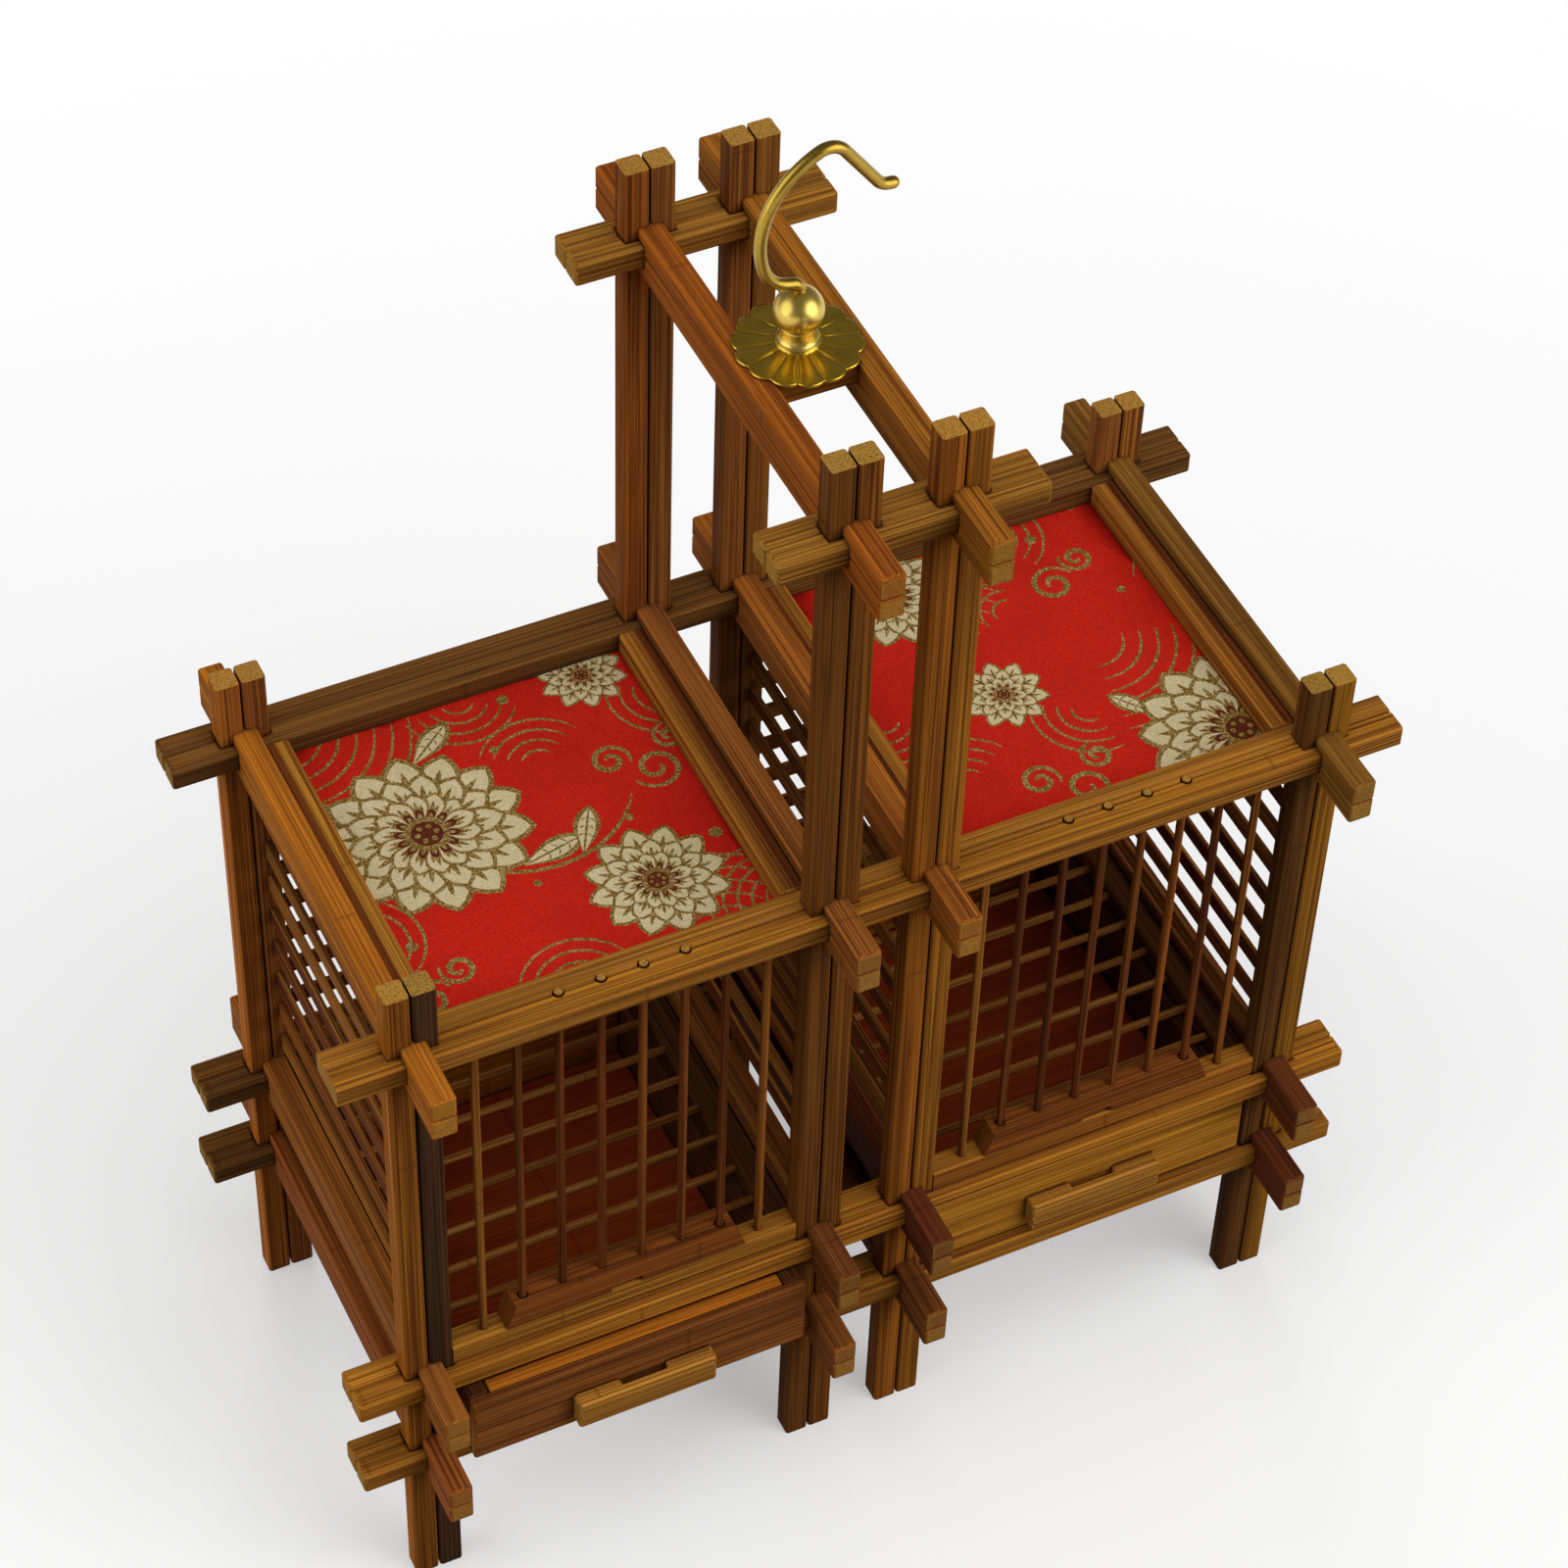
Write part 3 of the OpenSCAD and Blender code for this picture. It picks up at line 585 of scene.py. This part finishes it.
# one repeat of the print, in mm and degrees
clothPrint = {
    "repeat": (98.0, 106.0), "leftCorner": (8.0, 6.0), "rightCorner": (46.0, 52.0), "grid": 6.0,
    "waveLine": 0.8, "cloudLine": 1.5, "cloudTurns": 1.5, "stemLine": 1.1,
    # centre, first radius, step, start, stop
    "waves": [((8, 100), 9, 4.2, 262, 352), ((78, 2), 7, 3.9, 40, 128)], "waveCount": 6,
    "rippleFirst": 4, "rippleStep": 3.3,
    # centre, start, stop, count
    "ripples": [((42, 4), 20, 160, 4), ((60, 70), 30, 150, 4), ((50, 96), 190, 330, 4),
                ((94, 10), 70, 200, 5), ((2, 34), -60, 60, 4), ((96, 80), 150, 280, 4)],
    # centre, radius, start
    "clouds": [((84, 58), 6.5, 200), ((75, 64), 5, 330), ((91, 66), 4.2, 90), ((10, 14), 6, 20),
               ((19, 20), 4.4, 150)],
    # centre, radius
    "dots": [((12, 30), 1.5), ((6, 36), 1.0), ((88, 34), 1.6), ((93, 40), 0.9), ((60, 92), 1.5),
             ((66, 97), 1.0), ((52, 78), 1.2), ((24, 6), 1.1), ((80, 84), 1.4), ((45, 36), 1.0),
             ((72, 46), 1.0)],
    # from bloom to bloom: centre, radius, start, stop, count
    "stem": ((52, 66), 27, 205, 330, 24),
    # base, angle, length
    "leaves": [((44, 42), 12, 17), ((58, 40), 62, 15), ((33, 81), 38, 16), ((12, 72), 128, 13)],
    # centre, radius, petals, turn
    "blossoms": [((28, 60), 25, 14, 8), ((70, 26), 17, 12, 0), ((80, 92), 11, 10, 12)],
    # reach, start and width of each row of petals, as shares of the radius
    "petalRows": [(1.0, 0.3, 0.42), (0.76, 0.22, 0.34), (0.52, 0.14, 0.26)],
}


def clothMaterial(name, first, second, glitter=None):
    look = clothLook
    material, tree, shader = newMaterial(name)
    place = add(tree, "ShaderNodeTexCoord").outputs["Object"]
    ins = {"Vector": place, "Scale": math.pi / (20 * look["thread"]), "Distortion": 0.6, "Detail": 1.0}
    warp, weft = [add(tree, "ShaderNodeTexWave", ins, bands_direction=way).outputs["Fac"] for way in "XY"]
    under = maths(tree, "MULTIPLY", maths(tree, "SUBTRACT", 1.0, warp), maths(tree, "SUBTRACT", 1.0, weft))
    weave = maths(tree, "ADD", maths(tree, "MULTIPLY", warp, weft), under)
    fuzz = noise(tree, vectors(tree, "MULTIPLY", place, look["fuzzGrain"]))
    drift = noise(tree, vectors(tree, "MULTIPLY", place, look["driftGrain"]))
    threads, fluff = remap(tree, weave, *look["weaveLight"]), remap(tree, fuzz, *look["fuzzLight"])
    colour = blend(tree, maths(tree, "ADD", threads, fluff), linear(second), linear(first))
    colour = blend(tree, remap(tree, drift, *look["driftDeep"]), colour, linear(second))
    finish = {"Roughness": look["roughness"], "Specular IOR Level": look["shine"]}
    if glitter:  # bright flecks of metal thread
        fleck = add(tree, "ShaderNodeTexVoronoi", {"Vector": place, "Scale": 1 / look["fleck"]})
        chance = add(tree, "ShaderNodeSeparateColor", {"Color": fleck.outputs["Color"]}).outputs["Red"]
        bright = remap(tree, chance, *look["fleckMarks"])
        colour = blend(tree, bright, colour, linear(glitter))
        finish["Roughness"] = remap(tree, bright, 0.0, 1.0, *look["fleckRoughness"])
        finish["Metallic"] = maths(tree, "MULTIPLY", bright, look["fleckMetal"])
    finish["Base Color"] = colour
    finish["Normal"] = bumped(tree, weave, look["bump"], look["bumpStrength"])
    feed(tree, shader, finish)
    return material


def polar(centre, radius, angle):
    a = math.radians(angle)
    return centre[0] + radius * math.cos(a), centre[1] + radius * math.sin(a)


def ring(centre, radius, count=18):
    return [polar(centre, radius, 360 * k / count) for k in range(count)]


def arc(centre, radius, start, stop, count=16):
    return [polar(centre, radius, start + (stop - start) * k / count) for k in range(count + 1)]


def scroll(centre, radius, start, turns, count=26):
    # spiral that closes in on its centre
    steps = [k / count for k in range(count + 1)]
    return [polar(centre, radius * (1 - 0.82 * t), start + 360 * turns * t) for t in steps]


def ribbon(path, width, taper=0.35):
    # closed outline around an open line, thinner at its ends
    left, right = [], []
    for i, (x, y) in enumerate(path):
        a, b = path[max(0, i - 1)], path[min(len(path) - 1, i + 1)]
        dx, dy = b[0] - a[0], b[1] - a[1]
        size = math.hypot(dx, dy) or 1
        t = i / (len(path) - 1)
        half = width / 2 * (taper + (1 - taper) * math.sin(math.pi * t) ** 0.5)
        left.append((x - dy / size * half, y + dx / size * half))
        right.append((x + dy / size * half, y - dx / size * half))
    return left + right[::-1]


def petal(base, angle, length, width, blunt=0.75, count=9):
    # almond outline, widest past its middle
    c, s = math.cos(math.radians(angle)), math.sin(math.radians(angle))
    steps = [k / count for k in range(count + 1)]
    edge = [(length * t, width / 2 * math.sin(math.pi * t ** (1 / blunt)) ** 0.8) for t in steps]
    outline = edge + [(x, -y) for x, y in edge[-2:0:-1]]
    return [(base[0] + x * c - y * s, base[1] + x * s + y * c) for x, y in outline]


def blossom(shapes, centre, radius, petals, turn):
    for row, (reach, inner, wide) in enumerate(clothPrint["petalRows"]):
        size, width = radius * (reach - inner), radius * wide
        for k in range(petals):
            a = turn + 360 / petals * (k + 0.5 * row)
            base = polar(centre, radius * inner, a)
            shapes.append((petal(base, a, size, width), goldPrint))
            shapes.append((petal(base, a, size * 0.92, width * 0.78), creamPrint))
            for side in (-1, 0, 1):  # gold strokes fan out from the heart of the petal
                stroke = petal(base, a + 13 * side, size * (0.72 - 0.12 * abs(side)), width * 0.17)
                shapes.append((stroke, goldPrint))
            shapes.append((petal(base, a, size * 0.45, width * 0.36), maroonPrint))
            shapes.append((petal(base, a, size * 0.33, width * 0.18), goldPrint))
    shapes.append((ring(centre, radius * 0.2), goldPrint))
    shapes.append((ring(centre, radius * 0.15), maroonPrint))
    for k in range(6):
        shapes.append((ring(polar(centre, radius * 0.09, 60 * k), radius * 0.03, 8), goldPrint))


def leaf(shapes, base, angle, length):
    shapes.append((petal(base, angle, length, length * 0.42), goldPrint))
    shapes.append((petal(base, angle, length * 0.92, length * 0.27), creamPrint))
    for side in (-1, 1):
        for k in range(1, 5):
            start = polar(base, length * (0.12 + 0.16 * k), angle)
            sideVein = arc(start, length * 0.13, angle + side * 10, angle + side * 55, 4)
            shapes.append((ribbon(sideVein, 0.4), goldPrint))
    midVein = [polar(base, length * 0.95 * t / 6, angle) for t in range(7)]
    shapes.append((ribbon(midVein, 0.6), goldPrint))


def clothShapes():
    # outlines of one repeat with their colours, the later ones on top
    plan, shapes = clothPrint, []
    for k in range(plan["waveCount"]):  # waves in nested arcs
        for centre, first, step, start, stop in plan["waves"]:
            wave = arc(centre, first + step * k, start, stop)
            shapes.append((ribbon(wave, plan["waveLine"]), goldPrint))
    for centre, start, stop, count in plan["ripples"]:
        for k in range(count):
            ripple = arc(centre, plan["rippleFirst"] + plan["rippleStep"] * k, start, stop)
            shapes.append((ribbon(ripple, plan["waveLine"]), goldPrint))
    for centre, radius, start in plan["clouds"]:
        cloud = scroll(centre, radius, start, plan["cloudTurns"])
        shapes.append((ribbon(cloud, plan["cloudLine"]), goldPrint))
    for centre, radius in plan["dots"]:
        shapes.append((ring(centre, radius, 14), goldPrint))
    shapes.append((ribbon(arc(*plan["stem"]), plan["stemLine"]), goldPrint))
    for place in plan["leaves"]:
        leaf(shapes, *place)
    for place in plan["blossoms"]:
        blossom(shapes, *place)
    return shapes


def buildCloth(side, finishes):
    look = clothLook
    node = f"{side}_panel_cloth"
    low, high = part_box(node)
    tuck = Vector((look["tuck"], look["tuck"], 0))  # the edge goes a little under rails and strips
    low, high = low - tuck, high + tuck
    width, depth = (high.x - low.x) / mm, (high.y - low.y) / mm
    repeat, corner = clothPrint["repeat"], clothPrint[f"{side}Corner"]
    points, regions, colours = [], [], []

    def region(outline, colour):
        turned = sum(a[0] * b[1] - b[0] * a[1] for a, b in zip(outline, outline[1:] + outline[:1]))
        outline = outline if turned > 0 else outline[::-1]  # anticlockwise
        regions.append(list(range(len(points), len(points) + len(outline))))
        points.extend(Vector(p) for p in outline)
        colours.append(colour)

    region([(0, 0), (width, 0), (width, depth), (0, depth)], redCloth)
    for stepX in (-1, 0, 1):
        for stepY in (-1, 0, 1):
            dx, dy = stepX * repeat[0] - corner[0], stepY * repeat[1] - corner[1]
            for outline, colour in clothShapes():
                placed = [(x + dx, y + dy) for x, y in outline]
                xs, ys = [p[0] for p in placed], [p[1] for p in placed]
                if max(xs) > 0 and min(xs) < width and max(ys) > 0 and min(ys) < depth:
                    region(placed, colour)
    grid = clothPrint["grid"]  # even points, so that the cloth can curve
    across, along = round(width / grid), round(depth / grid)
    for i in range(1, across):
        points.extend(Vector((width * i / across, depth * j / along)) for j in range(1, along))
    flat, _, faces, _, _, origins = delaunay_2d_cdt(points, [], regions, 1, 1e-4, True)

    def surface(p):
        # a little fuller in the middle, with the slight unevenness of glued cloth
        u, v = p.x / width, p.y / depth
        crown = (16 * u * (1 - u) * v * (1 - v)) ** 0.4 if 0 < u < 1 and 0 < v < 1 else 0.0
        uneven = math.sin(p.x * 0.21 + 0.7) * math.sin(p.y * 0.17 + 1.3)
        return low.z + look["thickness"] + look["crown"] * (0.75 * crown + 0.12 * uneven + 0.2)

    kept, marks = [], []
    for face, origin in zip(faces, origins):
        if 0 in origin:  # inside the cloth
            kept.append(face)
            marks.append(colours[max(origin)])
    used = sorted({i for face in kept for i in face})
    order = {old: new for new, old in enumerate(used)}
    corners = [(low.x + flat[i].x * mm, low.y + flat[i].y * mm, surface(flat[i])) for i in used]
    cloth = meshObject(f"{side}PanelCloth", corners, [[order[i] for i in face] for face in kept], finishes)
    for face, mark in zip(cloth.data.polygons, marks):
        face.material_index = mark
    shell = cloth.modifiers.new("cloth thickness", "SOLIDIFY")
    shell.thickness = look["thickness"]
    shell.offset = -1
    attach(cloth, "frame")
    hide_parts(node)
    print(side, "cloth:", len(kept), "faces")


clothFinishes = [
    clothMaterial("red cloth", clothLook["red"], clothLook["redDeep"]),
    clothMaterial("gold print", clothLook["gold"], clothLook["goldDeep"], clothLook["goldBright"]),
    clothMaterial("cream print", clothLook["cream"], clothLook["creamDeep"]),
    clothMaterial("maroon print", clothLook["maroon"], clothLook["maroonDeep"]),
]
for side in ("left", "right"):
    buildCloth(side, clothFinishes)


# floor, light and camera

studio = {
    "floor": 400.0, "floorWhite": (0.97, 0.97, 0.97, 1), "floorBounce": (0.3, 0.3, 0.3, 1),
    "floorRoughness": 0.9, "floorShine": 0.1, "glow": (0.35, 0.97), "glowReach": (0.2, 0.55), "world": 0.16,
    # azimuth, elevation, power, size, mirrored in the brass
    "lamps": {"softbox left": (-93, 25, 7.0, 1.25, True), "softbox right": (39, 27, 10.3, 1.25, True),
              "top light": (-20, 80, 7.0, 1.0, False), "back fill": (170, 14, 5.0, 0.75, False)},
    "lampDistance": 1.25, "aim": (0, 0, 0.18),
}
view = {"azimuth": -27.05, "elevation": 47.01, "roll": 2.276, "place": (-0.32388, -0.63604, 0.94752),
        "lens": 103.034, "sensor": 36.0}


def direction(azimuth, elevation):
    a, e = math.radians(azimuth), math.radians(elevation)
    return Vector((math.sin(a) * math.cos(e), -math.cos(a) * math.cos(e), math.sin(e)))


def buildFloor():
    # near the cage the floor is plain and takes its shadow, further out it fades to white
    size = studio["floor"] / 2
    material, tree, shader = newMaterial("pale floor")
    feed(tree, shader, {"Base Color": studio["floorWhite"], "Roughness": studio["floorRoughness"],
                        "Specular IOR Level": studio["floorShine"]})
    away = vectors(tree, "LENGTH", add(tree, "ShaderNodeTexCoord").outputs["Object"])
    fade = remap(tree, away, *studio["glowReach"], *studio["glow"])
    white = add(tree, "ShaderNodeEmission", {"Color": (1, 1, 1, 1), "Strength": 1.0})
    shown = add(tree, "ShaderNodeMixShader", {0: fade, 1: shader.outputs[0], 2: white.outputs[0]})
    bounce = add(tree, "ShaderNodeBsdfDiffuse", {"Color": studio["floorBounce"]})
    ray = add(tree, "ShaderNodeLightPath").outputs
    seen = maths(tree, "MAXIMUM", ray["Is Glossy Ray"], ray["Is Transmission Ray"])
    seen = maths(tree, "MAXIMUM", ray["Is Camera Ray"], seen)
    mixed = add(tree, "ShaderNodeMixShader", {0: seen, 1: bounce.outputs[0], 2: shown.outputs[0]})
    feed(tree, tree.nodes["Material Output"], {"Surface": mixed.outputs[0]})
    corners = [(-size, -size, 0), (size, -size, 0), (size, size, 0), (-size, size, 0)]
    meshObject("floor", corners, [[0, 1, 2, 3]], [material], False)


def buildLights():
    world = bpy.data.worlds.new("studio")
    world.use_nodes = True
    bpy.context.scene.world = world
    background = world.node_tree.nodes["Background"]
    feed(world.node_tree, background, {"Color": (1, 1, 1, 1), "Strength": studio["world"]})
    for name, (azimuth, elevation, power, size, mirrored) in studio["lamps"].items():
        lamp = bpy.data.lights.new(name, "AREA")
        lamp.shape, lamp.energy, lamp.size = "DISK", power, size
        obj = bpy.data.objects.new(name, lamp)
        obj.visible_glossy = mirrored
        bpy.context.scene.collection.objects.link(obj)
        toLamp = direction(azimuth, elevation)
        obj.location = Vector(studio["aim"]) + toLamp * studio["lampDistance"]
        obj.rotation_mode = "QUATERNION"
        obj.rotation_quaternion = (-toLamp).to_track_quat("-Z", "Y")


def buildCamera():
    data = bpy.data.cameras.new("camera")
    data.lens, data.sensor_width = view["lens"], view["sensor"]
    camera = bpy.data.objects.new("camera", data)
    bpy.context.scene.collection.objects.link(camera)
    back = direction(view["azimuth"], view["elevation"])
    level = Vector((0, 0, 1)).cross(back).normalized()
    upright = back.cross(level)
    roll = math.radians(view["roll"])
    right = level * math.cos(roll) + upright * math.sin(roll)
    turn = Matrix((right, back.cross(right), back)).transposed()
    camera.matrix_world = Matrix.Translation(view["place"]) @ turn.to_4x4()
    bpy.context.scene.camera = camera


buildFloor()
buildLights()
buildCamera()
bpy.context.scene.view_settings.view_transform = "Standard"
print("studio ready")
